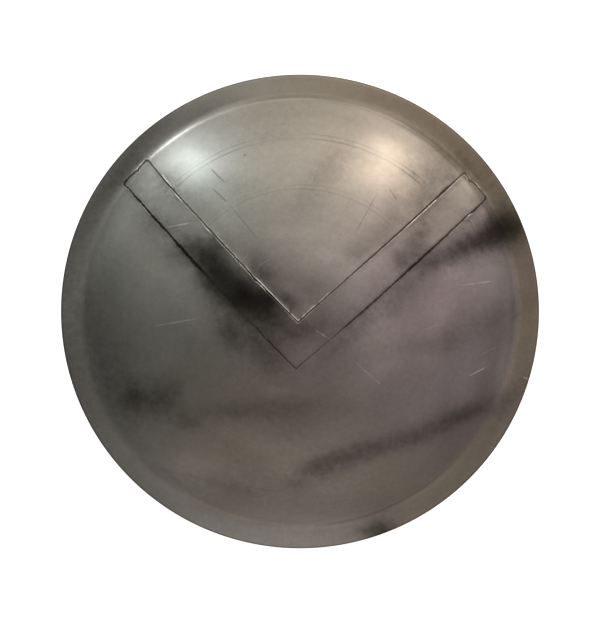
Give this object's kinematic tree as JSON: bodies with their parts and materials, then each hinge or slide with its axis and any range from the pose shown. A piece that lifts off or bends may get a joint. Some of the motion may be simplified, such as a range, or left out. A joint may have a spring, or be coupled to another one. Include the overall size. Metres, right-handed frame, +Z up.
{
  "type": "hoplite shield",
  "caption": "Round domed steel shield with a flat rim and a chevron outline cut in its face, carried by an arm band and a hand grip at the back.",
  "frame": {"origin": "on the ground below the crown, at the middle of the rim's underside, with the shield lying face up", "axes": "+Z up out of the face, -Y the way the chevron points, +X to the right of the face as pictured"},
  "size_m": [0.9, 0.9, 0.095],
  "materials": {
    "spun_steel": "spun and hand-rubbed bare steel, darkened by soot in soft patches, with fine scratches",
    "fitting_steel": "bare bent steel, dull, a little darker than the face"
  },
  "bodies": {
    "root": {"shell": "spun_steel", "arm_band": "fitting_steel", "hand_grip": "fitting_steel"}
  },
  "joints": []
}
